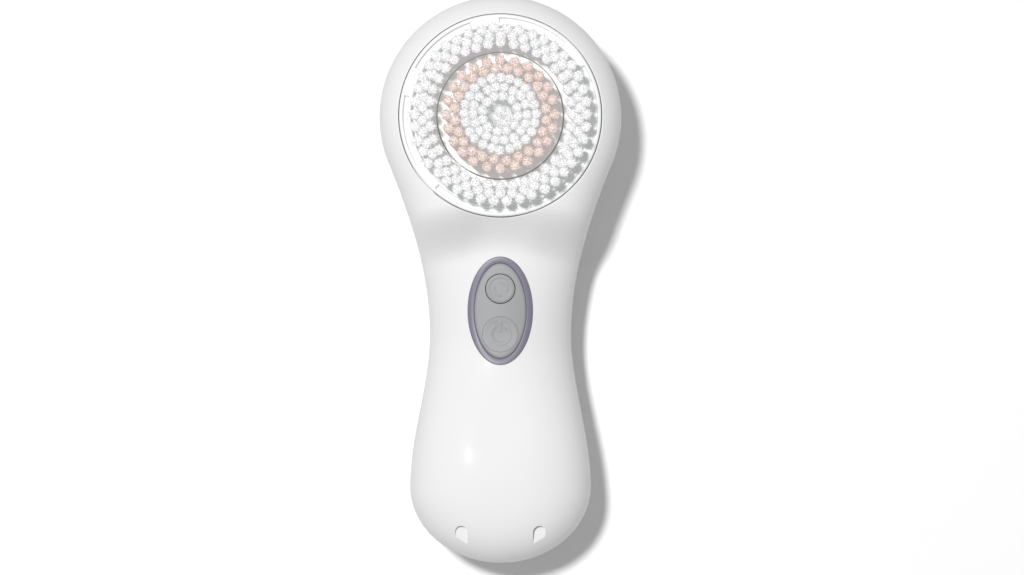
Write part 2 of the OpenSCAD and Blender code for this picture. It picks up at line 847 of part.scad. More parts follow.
module coil_bobbin() {
  flange = bobbin_wall + winding + 0.2;
  color(nylon) difference() {
    union() {
      around_leg(bobbin_wall, bobbin_y0, bobbin_y1);
      around_leg(flange, bobbin_y0, bobbin_y0 + bobbin_wall);
      around_leg(flange, bobbin_y1 - bobbin_wall, bobbin_y1);
    }
    around_leg(touch_gap, bobbin_y0 - 1, bobbin_y1 + 1);
  }
}

module drive_coil() {
  gap = bobbin_wall + touch_gap;
  color(copper) difference() {
    around_leg(bobbin_wall + winding, bobbin_y0 + gap, bobbin_y1 - gap);
    around_leg(gap, bobbin_y0, bobbin_y1);
  }
}

// Flat blades that pull the armature back to the middle.
module centring_springs() {
  inner = arm_w / 2 + touch_gap;
  blade = [spring_post_x - inner - touch_gap, spring_t, arm_top - arm_bottom - 0.6];
  color(steel) for (x = [-1, 1])
    block(blade, x * (inner + blade[0] / 2), spring_y, arm_bottom + 0.3);
}

module motor_leads() {
  y = core_y + core_back + 1.6;
  color([0.75, 0.15, 0.15]) wire_pair([
    [2, y, core_top + 2.9], [2, y - 0.6, core_top + 4.4], [2.2, y - 2.4, board_top - 1.6],
    [2.6, y - 3.4, board_top + 0.6], [2.8, y - 4.6, board_top + 1.2],
    [2.8, y - 5.8, board_top + 0.9], [2.8, y - 5.9, board_top + 0.5], [2.8, y - 5.9, board_top + 0.05]
  ]);
}

module battery_leads() {
  color([0.15, 0.15, 0.2]) {
    wire([
      [2.6, cell_y + cell_len + 1.9, lead_z], [2.6, cell_y + cell_len + 1.6, lead_z + 1.8],
      [2.6, cell_y + cell_len, board_z - 1.6], [2.6, cell_y + cell_len - 0.2, board_z - 0.2]
    ]);
    wire([
      [-2.6, cell_y - 0.95, lead_z - 0.2], [-2.6, cell_y - 1.2, lead_z + 1.2],
      [-2.6, cell_y - 0.6, board_z - 1.8], [-2.6, board_y - 4, board_z - 1.6],
      [-2.6, board_y + 1.2, board_z - 1.4], [-2.6, board_y + 2.4, board_z - 1],
      [-2.6, board_y + 2.6, board_z - 0.2]
    ]);
  }
}

module charging_leads() {
  color([0.85, 0.85, 0.8]) wire_pair([
    [2, coil_y + coil_r - 1.4, coil_z + 1.8], [2, coil_y + coil_r + 0.6, coil_z + 1.6],
    [2, coil_y + coil_r + 2.6, coil_z - 0.6], [2, board_y - 1.4, board_top + 2.6],
    [2, board_y + 1, board_top + 1.4], [2, board_y + 1.8, board_top + 0.6],
    [2, board_y + 1.8, board_top + 0.05]
  ]);
}

module drive_shaft() {
  color(steel) at_head() disc(shaft_r, shaft_bottom, shaft_top);
}

module magnet_pair(grow) {
  y = head_y - armature_reach + magnet_size[1] / 2;
  for (x = [-1, 1])
    block(magnet_size + [grow, grow, grow], x * magnet_size[0] / 2, y,
      (core_bottom + core_top - magnet_size[2] - grow) / 2);
}

module armature_arm() {
  tip = [2 * magnet_size[0], 2.4, magnet_size[2]];
  tip_y = head_y - armature_reach + magnet_size[1] + touch_gap + tip[1] / 2;
  color(steel) difference() {
    union() {
      at_head() disc(arm_hub_r, arm_bottom, arm_top);
      block([arm_w, armature_reach - magnet_size[1] - 1, arm_top - arm_bottom],
        0, (head_y + tip_y) / 2, arm_bottom);
      block(tip, 0, tip_y, (core_bottom + core_top - tip[2]) / 2);
    }
    at_head() disc(shaft_r, 0, far);
  }
}

module armature_magnets() {
  color([0.6, 0.6, 0.62]) magnet_pair(0);
}

// The hub: a round neck for the seal, and a six-sided key for the brush.
module drive_hub() {
  neck_top = 27;
  key_top = 33;
  color(nylon) at_head() difference() {
    union() {
      disc(hub_neck_r, cup_bottom + 0.8, neck_top);
      translate([0, 0, neck_top - eps]) cylinder(r = hub_key_r, h = key_top - neck_top, $fn = 6);
    }
    disc(shaft_r, 0, shaft_top + touch_gap);
    disc(screw_r + touch_gap, 0, far);
  }
}

module hub_screw() {
  color(steel) at_head() {
    disc(2.4, 33 - eps, 34);
    disc(screw_r, shaft_top + touch_gap, 33);
  }
}

// The retainer ring: grip band with tabs and finger recesses, skirt and bayonet lugs.
module retainer_ring() {
  step = 360 / grip_tabs;
  color(frost) at_head() difference() {
    union() {
      rotate([0, 0, tab_start]) rotate_extrude() polygon([
        [skirt_inner_r, skirt_bottom], [skirt_r, skirt_bottom], [skirt_r, ring_bottom],
        [ring_r, ring_bottom], [ring_r, ring_top - 0.6], [ring_r - 0.6, ring_top],
        [ring_inner_r + 0.5, ring_top], [ring_inner_r, ring_top - 0.5],
        [ring_inner_r, ring_seat_z], [skirt_inner_r, ring_seat_z]
      ]);
      for (i = [0:lug_count - 1])
        arc_block(lug_r, skirt_r - 0.5, lug_top - lug_h, lug_top, i * 360 / lug_count, lug_angle);
    }
    for (i = [0:grip_tabs - 1])
      arc_block(ring_r - recess_rim, ring_inner_r + recess_rim, ring_top - recess_depth, ring_top + 1,
        tab_start + (i + 0.5) * step, step - tab_angle);
  }
}

// The fixed annular plate with the housing for the floating bearing below it.
module outer_tuft_plate() {
  color(frost) at_head() rotate_extrude() polygon([
    [outer_plate_inner_r, ring_seat_z - 0.2], [outer_plate_inner_r, outer_face_z],
    [ring_inner_r - touch_gap, outer_face_z], [ring_inner_r - touch_gap, ring_seat_z + touch_gap],
    [housing_r, ring_seat_z + touch_gap], [housing_r, housing_bottom],
    [bearing_outer_r + run_gap, housing_bottom], [bearing_outer_r + run_gap, ring_seat_z - 0.2]
  ]);
}

// A row of tufts from place to place: every guide-th place is left to the guide tufts.
module tuft_row(radius, count, turn, z0, z1, guide, keep) {
  for (i = [0:count - 1]) if ((guide > 0 && i % guide == 0) == keep)
    rotate([0, 0, turn + i * 360 / count]) translate([radius, 0, z0])
      cylinder(r = tuft_r, h = z1 - z0, $fn = 24);
}

function outer_count(k) = row_count(outer_rows[k], tuft_pitch, guide_count);
module outer_row(k, guide, keep) {
  tuft_row(outer_rows[k], outer_count(k), k % 2 * 180 / outer_count(k), outer_face_z + touch_gap,
    outer_tip_z, guide, keep);
}

module outer_tufts() {
  color([0.93, 0.94, 0.95]) at_head() for (k = [0:len(outer_rows) - 1])
    outer_row(k, k == 0 ? outer_count(0) / guide_count : 0, false);
}

module outer_guide_tufts() {
  color([0.93, 0.94, 0.95]) at_head() outer_row(0, outer_count(0) / guide_count, true);
}

// A loose bush between the two plates: it comes off with the head but need not turn with it.
module bearing_ring() {
  color(nylon) at_head() tube(bearing_outer_r, bearing_inner_r, bearing_bottom, bearing_top);
}

module inner_tuft_plate() {
  color(frost) at_head() rotate_extrude() polygon([
    [0, plate_under_z], [drive_socket_r + touch_gap, plate_under_z],
    [drive_socket_r + touch_gap, stem_bottom], [stem_r, stem_bottom],
    [stem_r, bearing_top + slide_gap], [inner_plate_r, bearing_top + 1.2],
    [inner_plate_r, inner_face_z], [0, inner_face_z]
  ]);
}

module drive_socket() {
  color(nylon) at_head() translate([0, 0, drive_socket_bottom]) difference() {
    cylinder(r = drive_socket_r, h = drive_socket_top - drive_socket_bottom);
    translate([0, 0, -eps])
      cylinder(r = socket_key_r, h = far, $fn = 6);
  }
}

module snap_clip() {
  color(steel) at_head() tube(clip_r, drive_socket_r + 1.2, clip_bottom, stem_bottom - touch_gap);
}

module pink_row(k, guide, keep) {
  color(tuft_pink) at_head()
    tuft_row(pink_rows[k], pink_count, k * 180 / pink_count, inner_face_z + touch_gap, inner_tip_z,
      guide, keep);
}

module pink_tufts() {
  pink_row(0, pink_count / guide_count, false);
  pink_row(1, 0, false);
}

module pink_guide_tufts() {
  pink_row(0, pink_count / guide_count, true);
}

module clear_tufts() {
  color([0.94, 0.95, 0.96]) at_head() for (k = [0:clear_row_count - 1])
    tuft_row(clear_rows[k], row_count(clear_rows[k], clear_pitch, 1), k * 50,
      inner_face_z + touch_gap, inner_tip_z, 0, false);
}

front_shell();
rear_shell();
shell_gasket();
brush_socket();
socket_o_ring();
hub_seal();
seal_clamp_ring();
seal_screws();
button_bezel();
button_pad();
speed_button();
power_button();
speed_switch();
power_switch();
speed_plunger();
power_plunger();
circuit_board();
board_components();
status_leds();
board_screws();
battery();
battery_contacts();
battery_cradle();
charging_coil();
ferrite_disc();
coil_tray();
charger_magnets();
motor_frame();
motor_screws();
lower_bearing();
upper_bearing();
stator_core();
coil_bobbin();
drive_coil();
centring_springs();
motor_leads();
battery_leads();
charging_leads();
drive_shaft();
armature_arm();
armature_magnets();
drive_hub();
hub_screw();
retainer_ring();
outer_tuft_plate();
outer_tufts();
outer_guide_tufts();
bearing_ring();
inner_tuft_plate();
drive_socket();
snap_clip();
pink_tufts();
pink_guide_tufts();
clear_tufts();
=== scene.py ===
# Facial cleansing brush: the looks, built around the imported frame
import json
import math
import random

import bmesh
import bpy
from mathutils import Matrix, Vector


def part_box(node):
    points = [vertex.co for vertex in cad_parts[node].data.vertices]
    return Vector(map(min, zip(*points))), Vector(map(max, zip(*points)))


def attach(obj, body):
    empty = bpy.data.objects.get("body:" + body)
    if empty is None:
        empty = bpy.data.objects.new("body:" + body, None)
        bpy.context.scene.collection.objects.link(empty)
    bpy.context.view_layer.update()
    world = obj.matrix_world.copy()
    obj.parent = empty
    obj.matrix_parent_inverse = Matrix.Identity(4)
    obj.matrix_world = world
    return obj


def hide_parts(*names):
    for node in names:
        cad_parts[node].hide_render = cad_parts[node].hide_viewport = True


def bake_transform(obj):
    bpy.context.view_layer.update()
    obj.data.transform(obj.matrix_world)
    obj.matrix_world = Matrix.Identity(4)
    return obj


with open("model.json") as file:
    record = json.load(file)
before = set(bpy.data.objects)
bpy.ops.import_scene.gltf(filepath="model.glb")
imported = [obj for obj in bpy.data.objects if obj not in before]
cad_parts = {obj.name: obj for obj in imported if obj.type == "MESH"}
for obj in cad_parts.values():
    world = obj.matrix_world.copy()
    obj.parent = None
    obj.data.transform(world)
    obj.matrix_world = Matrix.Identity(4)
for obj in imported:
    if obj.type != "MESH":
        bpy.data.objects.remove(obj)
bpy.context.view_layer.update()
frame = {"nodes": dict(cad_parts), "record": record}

mm = 0.001


# Lowest and highest corner of a CAD node, in millimetres
def span(node):
    low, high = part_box(node)
    return low / mm, high / mm


def mix(a, b, t):
    return a + (b - a) * t


# A soft step from 0 to 1
def ease(t):
    u = min(1, max(0, t))
    return u * u * (3 - 2 * u)


# How far a rounded edge has fallen away at a distance from the edge
def edgeDrop(distance, radius):
    if distance >= radius:
        return 0
    return radius - math.sqrt(radius ** 2 - (radius - max(0, distance)) ** 2)


# A material socket. Arithmetic on it adds Math nodes, and add() makes any other node.
class Port:
    def __init__(self, tree, socket=None):
        self.tree = tree
        self.socket = socket

    def add(self, kind, settings, inputs, output=0):
        node = self.tree.nodes.new("ShaderNode" + kind)
        for name, value in settings.items():
            setattr(node, name, value)
        for name, value in inputs.items():
            if isinstance(value, Port):
                self.tree.links.new(value.socket, node.inputs[name])
            else:
                node.inputs[name].default_value = value
        return Port(self.tree, node.outputs[output] if node.outputs else None)

    def calc(self, operation, first, second):
        return self.add("Math", {"operation": operation}, {0: first, 1: second})

    def __add__(self, other):
        return self.calc("ADD", self, other)

    def __radd__(self, other):
        return self.calc("ADD", other, self)

    def __sub__(self, other):
        return self.calc("SUBTRACT", self, other)

    def __rsub__(self, other):
        return self.calc("SUBTRACT", other, self)

    def __mul__(self, other):
        return self.calc("MULTIPLY", self, other)

    def __rmul__(self, other):
        return self.calc("MULTIPLY", other, self)

    # The blend of two colours, from this socket as the factor
    def blend(self, low, high):
        return self.add("Mix", {"data_type": "RGBA"}, {0: self, 6: (*low, 1), 7: (*high, 1)}, 2)


# Places on the object itself, so that a finish moves with its piece
def places(tree):
    return Port(tree).add("TexCoord", {}, {}, "Object")


def noise(at, scale, detail=3, stretch=(1, 1, 1)):
    if stretch != (1, 1, 1):
        at = at.add("Mapping", {}, {"Vector": at, "Scale": stretch})
    return at.add("TexNoise", {}, {"Vector": at, "Scale": scale, "Detail": detail})


# A material with one Principled shader; paint() gives its sockets from the places
def finish(name, paint, **fixed):
    material = bpy.data.materials.new(name)
    material.use_nodes = True
    tree = material.node_tree
    tree.nodes.clear()
    sockets = dict(fixed)
    sockets.update(paint(places(tree)))
    shader = Port(tree).add("BsdfPrincipled", {}, sockets)
    Port(tree).add("OutputMaterial", {}, {"Surface": shader})
    return material


def bump(height, distance):
    return height.add("Bump", {}, {"Height": height, "Distance": distance * mm})


# Plastic or rubber: grain is the size of its texture and depth its relief, in millimetres,
# and spread is how much darker its clouds are
def moulded(name, shade, rough, grain=0.35, depth=0.004, spread=0.03, **fixed):
    dark = [c * (1 - spread) for c in shade]
    cloudScale = 60

    def paint(at):
        fine = noise(at, 1 / (grain * mm), 4)
        broad = noise(at, cloudScale, 2)
        return {
            "Base Color": broad.blend(dark, shade),
            "Roughness": rough + (fine - 0.5) * 0.1 + (broad - 0.5) * 0.06,
            "Normal": bump(fine, depth),
        }
    return finish(name, paint, **fixed)


# Metal with drawn or ground lines, finer along one direction
def metal(name, shade, rough, stretch=(1, 1, 12)):
    dark = [c * 0.82 for c in shade]
    lineScale, stainScale, lineDepth = 900, 150, 0.004

    def paint(at):
        lines = noise(at, lineScale, 3, stretch)
        stain = noise(at, stainScale, 2)
        return {
            "Base Color": stain.blend(dark, shade),
            "Roughness": rough + (lines - 0.5) * 0.2,
            "Normal": bump(lines, lineDepth),
        }
    return finish(name, paint, Metallic=1.0)


# Enamelled wire: close turns drawn as bands that run round the coil
def winding(name, shade):
    shadow = [c * 0.45 for c in shade]
    wireDepth = 0.06

    def paint(at):
        turns = at.add("TexWave", {"wave_type": "BANDS", "bands_direction": "Y"},
                       {"Vector": at, "Scale": 900, "Distortion": 0.3, "Detail": 1})
        return {
            "Base Color": turns.blend(shadow, shade),
            "Roughness": 0.25 + turns * 0.15,
            "Normal": bump(turns, wireDepth),
        }
    return finish(name, paint, Metallic=0.9)


# Solder mask with paler copper paths under it
def circuit(name, shade):
    pale = [c * 1.9 + 0.02 for c in shade]
    pathDepth = 0.03

    def paint(at):
        paths = at.add("TexBrick", {"offset": 0.5},
                       {"Vector": at, "Scale": 260, "Mortar Size": 0.05, "Brick Width": 0.9,
                        "Row Height": 0.35}, "Fac")
        return {
            "Base Color": paths.blend(shade, pale),
            "Roughness": 0.38 + noise(at, 500) * 0.15,
            "Normal": bump(paths, pathDepth),
        }
    return finish(name, paint)


# Nylon filaments, darker at the root and paler towards the tip, and each a little different. The darkening
# towards the root is painted shade from the tufts around it, and the same colour is given out as a painted
# glow.
def bristle(name, root, tip, foot, top, **fixed):
    def paint(at):
        height = at.add("SeparateXYZ", {}, {0: at}, "Z")
        rise = at.add("MapRange", {"clamp": True},
                      {"Value": height, "From Min": foot * mm, "From Max": top * mm})
        each = at.add("NewGeometry", {}, {}, "Random Per Island")
        # painted shade towards the root, paler towards the tip
        shade = (rise * 0.75 + each * 0.25).blend(root, tip)
        return {
            "Base Color": shade,
            # the filaments glow in their own colour: painted light
            "Emission Color": shade,
            "Roughness": 0.3 + each * 0.2,
        }
    return finish(name, paint, **fixed)


finishes = {
    "white_shell": moulded("whiteShell", (0.775, 0.775, 0.775), 0.5, grain=0.25, depth=0.0025, spread=0.01,
                           **{"Coat Weight": 0.02, "Coat Roughness": 0.15, "Specular IOR Level": 0.1}),
    "socket_white": moulded("socketWhite", (0.72, 0.72, 0.73), 0.45, depth=0.006),
    # The frosted plastic glows evenly: a painted glow that lifts the shade on the ring and on the plates
    # between the tufts
    "frosted_plastic": moulded("frostedPlastic", (0.7, 0.705, 0.71), 0.36, grain=0.2, depth=0.003,
                               spread=0.015, **{"Emission Color": (1, 1, 1, 1), "Emission Strength": 0.12}),
    "bezel_lavender": moulded("bezelLavender", (0.19, 0.176, 0.23), 0.42, grain=0.15, depth=0.003,
                              spread=0.05),
    "grey_silicone": moulded("greySilicone", (0.318, 0.324, 0.332), 0.55, grain=0.12, depth=0.006),
    "nylon": moulded("naturalNylon", (0.78, 0.77, 0.73), 0.45, depth=0.008, spread=0.04),
    "seal_rubber": moulded("sealRubber", (0.03, 0.03, 0.033), 0.65, grain=0.1, depth=0.01, spread=0.2),
    "black_plastic": moulded("blackPlastic", (0.025, 0.025, 0.028), 0.4, depth=0.006, spread=0.15),
    "led_lens": moulded("lensPlastic", (0.85, 0.85, 0.75), 0.15, depth=0.001,
                        **{"Transmission Weight": 0.5}),
    "battery_wrap": moulded("batteryWrap", (0.06, 0.26, 0.36), 0.22, grain=1.5, depth=0.01, spread=0.08),
    "ferrite": moulded("sinteredFerrite", (0.04, 0.04, 0.043), 0.7, grain=0.08, depth=0.012, spread=0.3),
    "red_wire": moulded("redWire", (0.45, 0.02, 0.02), 0.4, depth=0.004),
    "black_wire": moulded("blackWire", (0.02, 0.02, 0.025), 0.4, depth=0.004),
    "pale_wire": moulded("paleWire", (0.7, 0.7, 0.64), 0.4, depth=0.004),
    "steel": metal("plainSteel", (0.62, 0.63, 0.65), 0.28),
    "core_iron": metal("laminatedIron", (0.3, 0.3, 0.31), 0.45, (1, 1, 40)),
    "magnet_plate": metal("nickelPlate", (0.7, 0.69, 0.66), 0.18, (1, 1, 1)),
    "copper_winding": winding("enamelledCopper", (0.72, 0.3, 0.12)),
    "board_green": circuit("solderMask", (0.015, 0.13, 0.055)),
}
pinkLow, pinkHigh = span("pink_tufts")
outerLow, outerHigh = span("outer_tufts")
# Painted glow: the bristles give out light in place of light passing through the nylon, and it lifts the
# shade between the tufts
paintedGlow = {"Emission Strength": 0.4, "Specular IOR Level": 0.3}  # light scattered inside the nylon
finishes["pink_bristle"] = bristle("pinkFilament", (0.53, 0.435, 0.4), (0.58, 0.51, 0.48),
                                   pinkLow.z, pinkHigh.z, **paintedGlow)
finishes["clear_bristle"] = bristle("clearFilament", (0.55, 0.555, 0.56), (0.61, 0.61, 0.61),
                                    outerLow.z, outerHigh.z, **paintedGlow)
print("finishes:", len(finishes))

finishOf = {part["node"]: part["material_slot"] for part in frame["record"]["subparts"]}
for name, node in frame["nodes"].items():
    node.data.materials.clear()
    node.data.materials.append(finishes[finishOf[name]])


# Corners of a section, (across, up, rounding), with each corner turned into a short arc
def rounded(corners, steps=4):
    points = []
    for i, (x, y, radius) in enumerate(corners):
        here = Vector((x, y))
        if radius == 0:
            points.append(here)
            continue
        before = here + (Vector(corners[i - 1][:2]) - here).normalized() * radius
        after = here + (Vector(corners[(i + 1) % len(corners)][:2]) - here).normalized() * radius
        for k in range(steps + 1):
            t = k / steps
            points.append(before * (1 - t) ** 2 + here * 2 * t * (1 - t) + after * t * t)
    return points


# Faces of a grid of points, row after row, whose columns close into a loop
def gridFaces(rows, columns, closeRows=True):
    faces = []
    for r in range(rows if closeRows else rows - 1):
        for c in range(columns):
            d = (c + 1) % columns
            s = (r + 1) % rows
            faces.append((r * columns + c, r * columns + d, s * columns + d, s * columns + c))
    return faces


# Points in the plane on a circle or oval, starting on the right
def ovalRing(across, along, centre, count=160):
    return [(across * math.cos(t), centre + along * math.sin(t))
            for t in (2 * math.pi * i / count for i in range(count))]


# A mesh object from points in millimetres; points that coincide are joined
def meshObject(name, points, faces, join=True):
    sameAs = 2e-6  # metres
    mesh = bpy.data.meshes.new(name)
    form = bmesh.new()
    corners = [form.verts.new(Vector(p) * mm) for p in points]
    for face in faces:
        form.faces.new([corners[i] for i in face])
    if join:
        bmesh.ops.remove_doubles(form, verts=form.verts, dist=sameAs)
        bmesh.ops.recalc_face_normals(form, faces=form.faces)
    form.to_mesh(mesh)
    form.free()
    thing = bpy.data.objects.new(name, mesh)
    bpy.context.collection.objects.link(thing)
    return thing


# A piece with some forms joined to it and others cut away
def carve(piece, cutters, bosses=()):
    for cutter in [*bosses, *cutters]:
        change = piece.modifiers.new("cut", "BOOLEAN")
        change.operation = "UNION" if cutter in bosses else "DIFFERENCE"
        change.solver = "EXACT"
        change.object = cutter
    graph = bpy.context.evaluated_depsgraph_get()
    piece.data = bpy.data.meshes.new_from_object(piece.evaluated_get(graph))
    piece.modifiers.clear()
    for cutter in [*bosses, *cutters]:
        bpy.data.objects.remove(cutter)


# Smooth shading with sharp edges, finish, body, slot and the nodes it stands for
def settle(piece, body, slot, *nodes, sharp=38):
    mesh = piece.data
    mesh.shade_smooth()
    mesh.set_sharp_from_angle(angle=math.radians(sharp))
    mesh.materials.clear()
    mesh.materials.append(finishes[slot])
    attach(piece, body)
    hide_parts(*nodes)
    print("piece:", piece.name, len(mesh.polygons), "faces")


# Sizes of the handle, in millimetres; the powers are the squareness of its sections
handle = {
    "bellyR": 22.6, "baseLength": 19.1, "waistR": 17.7, "waistDrop": 53.9, "neckAngle": 22.5,
    "bellyTop": 38, "waistTop": 33, "headTop": 43, "neckRiseDrop": 34, "neckRiseLength": 17,
    "waistLift": 3, "backCrown": 0.6, "seamLow": 18, "seamHigh": 26,
    "wall": 2, "lip": 0.8, "seamGap": 0.04, "grooveLift": 0.55, "seamRound": 0.25,
    "socketGap": 0.25, "rimRound": 0.3, "waistPower": 2.2, "headPower": 3.5, "bellyPower": 3.2,
    "backPower": 2.5, "ridgeRound": 0.15,
}
shellLow, shellHigh = span("front_shell")
ringLow, ringHigh = span("retainer_ring")
headR = shellHigh.x
headY = shellHigh.y - headR
headCentre = Vector((0, headY))
ringR = ringHigh.x
socketR = ringR + handle["socketGap"]
bellyY = shellLow.y + handle["baseLength"]
waistY = headY - handle["waistDrop"]
neckSlope = math.tan(math.radians(handle["neckAngle"]))
neckY = headY - headR * math.sin(math.radians(handle["neckAngle"]))
neckR = headR * math.cos(math.radians(handle["neckAngle"]))
neckRiseY = headY - handle["neckRiseDrop"]


# Half the width: a soft step from the waist to the belly, and a curve that meets the head's circle
def halfWidth(y):
    if y < waistY:
        return mix(handle["waistR"], handle["bellyR"], ease((waistY - y) / (waistY - bellyY)))
    t = (y - waistY) / (neckY - waistY)
    return mix(handle["waistR"], neckR, ease(t)) + neckSlope * (neckY - waistY) * (t ** 3 - t ** 2)


# Blend along the spine of a value at the waist with those at the belly and the head
def along(y, waist, belly, head):
    if y < waistY:
        return mix(waist, belly, ease((waistY - y) / (waistY - bellyY)))
    return mix(waist, head, ease((y - neckRiseY) / handle["neckRiseLength"]))


# Heights along the spine: the front's crown, the back, and the parting line
def crownZ(y):
    return along(y, handle["waistTop"], handle["bellyTop"], handle["headTop"])


def backZ(y):
    away = (waistY - y) / (waistY - bellyY) if y < waistY else (y - waistY) / (headY - waistY)
    return mix(handle["waistLift"], -handle["backCrown"], ease(away))


def seamZ(y):
    return mix(handle["seamLow"], handle["seamHigh"], ease((y - waistY) / (headY - waistY)))


# Squareness of the section
def powerAt(y, side=1):
    if side < 0:
        return handle["backPower"]
    return along(y, handle["waistPower"], handle["bellyPower"], handle["headPower"])


# Share of the full height at a share of the way out, with the ridge kept soft
def bulge(share, power):
    soft = handle["ridgeRound"]
    fall = (share ** 2 + soft ** 2) ** (power / 2) - soft ** power
    return max(0, 1 - fall / ((1 + soft ** 2) ** (power / 2) - soft ** power)) ** (1 / power)


# Where the rib through an outline point meets the spine
def spineOf(y):
    step = 0.01
    slope = (halfWidth(y + step) - halfWidth(y - step)) / (2 * step)
    return y + halfWidth(y) * slope


# The outline point whose rib starts at a place on the spine
def ribAt(spine):
    low, high = bellyY, neckY
    for _ in range(40):
        middle = (low + high) / 2
        if spineOf(middle) < spine:
            low = middle
        else:
            high = middle
    return (low + high) / 2


# Height of the front above any place between the sides
def frontZ(x, y):
    share = min(1, abs(x) / halfWidth(y))
    return seamZ(y) + (crownZ(y) - seamZ(y)) * bulge(share, powerAt(y))


# The same above the base's rounded end
def baseZ(x, y):
    share = math.hypot(x / handle["bellyR"], (bellyY - y) / handle["baseLength"])
    return seamZ(bellyY) + (handle["bellyTop"] - seamZ(bellyY)) * bulge(min(1, share), handle["bellyPower"])


# How finely the case is divided: steps round its outline, rows from its edge to its middle, and the
# distances above the parting line and outside the socket's opening at which rounded edges have rows
fineness = {
    "head": 150, "opening": 28, "side": 46, "base": 72, "outer": 36, "inner": 12,
    "seamRows": [0, 0.03, 0.09, 0.17, 0.26, 0.5],
    "rimRows": [1.2, 0.9, 0.6, 0.45, 0.3, 0.18, 0.08, 0.02, 0],
}
rimRows = fineness["rimRows"]


# The outline, each point with its place on the spine: the head, the left side, the base, the right side
def outline():
    opening, side, base = fineness["opening"], fineness["side"], fineness["base"]
    gate = headY - socketR
    spines = [headY - socketR * math.sin(math.pi / 2 * k / opening) for k in range(1, opening + 1)]
    spines += [gate - step for step in reversed(rimRows[:-1])]
    start = spines[-1]
    spines += [mix(start, bellyY, k / side) for k in range(1, side)]
    ribs = [(halfWidth(y), y, s) for s, y in ((s, ribAt(s)) for s in spines)]
    columns = []
    for i in range(fineness["head"] + 1):
        angle = math.radians(mix(-handle["neckAngle"], 180 + handle["neckAngle"], i / fineness["head"]))
        columns.append((headCentre + headR * Vector((math.cos(angle), math.sin(angle))), headCentre))
    columns += [(Vector((-w, y)), Vector((0, s))) for w, y, s in ribs]
    for i in range(base + 1):
        angle = math.pi * (1 + i / base)
        place = Vector((handle["bellyR"] * math.cos(angle), handle["baseLength"] * math.sin(angle) + bellyY))
        columns.append((place, Vector((0, bellyY))))
    columns += [(Vector((w, y)), Vector((0, s))) for w, y, s in reversed(ribs)]
    return columns


# Share of the way from the spine to the outline at a distance outside the opening
def shareAt(place, spine, distance):
    reach = place - spine
    lead = spine - headCentre
    dot = reach.dot(lead)
    root = dot ** 2 - reach.length_squared * (lead.length_squared - (socketR + distance) ** 2)
    return (math.sqrt(max(0, root)) - dot) / reach.length_squared


# Shares of the way out at even steps of a rounded section, from one share to another
def sectionShares(start, end, steps, power):
    low = math.acos(min(1, start ** (power / 2)))
    high = math.acos(end ** (power / 2))
    return [math.cos(mix(low, high, k / steps)) ** (2 / power) for k in range(steps + 1)]


# One half of the case: side is 1 for the front and -1 for the back
def shellHalf(name, side, opened):
    lift = handle["seamGap"]
    grid = []
    atOpening = []

    def point(place, spine, share, inset, rise):
        reach = place - spine
        seam = seamZ(spine.y)
        leant = reach.y * share * (1 - ease(share * 2))  # level across the spine, along the rib further out
        crown = crownZ(spine.y + leant) - seam if side > 0 else seam - backZ(spine.y + leant)
        high = rise + (crown - inset - rise) * bulge(share, powerAt(spine.y, side))
        if inset == 0:
            share -= edgeDrop(high - lift, handle["seamRound"]) / reach.length
        at = spine + reach * (share * (1 - inset / reach.length))
        if side > 0 and inset == 0 and opened:
            high -= edgeDrop((at - headCentre).length - socketR, handle["rimRound"])
        z = seam + side * high
        return at.x, at.y, max(0, z)

    for place, spine in outline():
        reach = (place - spine).length
        power = powerAt(spine.y, side)
        crown = crownZ(spine.y) - seamZ(spine.y) if side > 0 else seamZ(spine.y) - backZ(spine.y)
        away = (spine - headCentre).length
        cut = opened and away < socketR + 1e-6
        if cut:
            last = [shareAt(place, spine, step) for step in rimRows]
        else:  # rows close together near the opening, which open out away from it
            band = min(0.3 * reach, rimRows[0] + 0.45 * (away - socketR)) if opened else 0.12 * reach
            last = [band / reach * step / rimRows[0] for step in rimRows]
        first = [(1 - (h / crown) ** power) ** (1 / power) for h in fineness["seamRows"]]
        shares = first + sectionShares(first[-1], last[0], fineness["outer"], power)[1:-1] + last
        column = [point(place, spine, share, 0, lift) for share in shares]
        end = last[-1] if cut else 0
        inside = sectionShares(end, 1, fineness["inner"], power)
        if cut:  # the inner wall starts right under the rim
            inside[0] = min(1, end * reach / (reach - handle["wall"]))
        column += [point(place, spine, share, handle["wall"], handle["grooveLift"]) for share in inside]
        column.append(point(place, spine, 1, handle["lip"], handle["grooveLift"]))
        column.append(point(place, spine, 1, handle["lip"], lift))
        grid.append(column)
        atOpening.append(cut)
    rows = len(grid[0])
    outerRows = rows - fineness["inner"] - 3
    points = [grid[c][r] for r in range(rows) for c in range(len(grid))]
    faces = []
    for i, face in enumerate(gridFaces(rows, len(grid))):
        r, c = divmod(i, len(grid))
        if r != outerRows - 1 or (atOpening[c] and atOpening[(c + 1) % len(grid)]):
            faces.append(face)
    return meshObject(name, points, faces)


# A form with upright sides over an outline
def prism(name, ring, low, high):
    points = [(x, y, low) for x, y in ring] + [(x, y, high) for x, y in ring]
    n = len(ring)
    faces = [tuple(range(n)), tuple(range(n, 2 * n))]
    faces += [(i, (i + 1) % n, n + (i + 1) % n, n + i) for i in range(n)]
    return meshObject(name, points, faces)


# The two locating slots near the base, open towards it, with a closed pocket behind each
slots = {"width": 3, "pitch": 19.2, "y": bellyY - 10.4, "z": handle["bellyTop"] - 3.5, "tilt": 5, "length": 9,
         "pocket": 2.7, "pocketLow": 31.3, "pocketCover": 0.8}


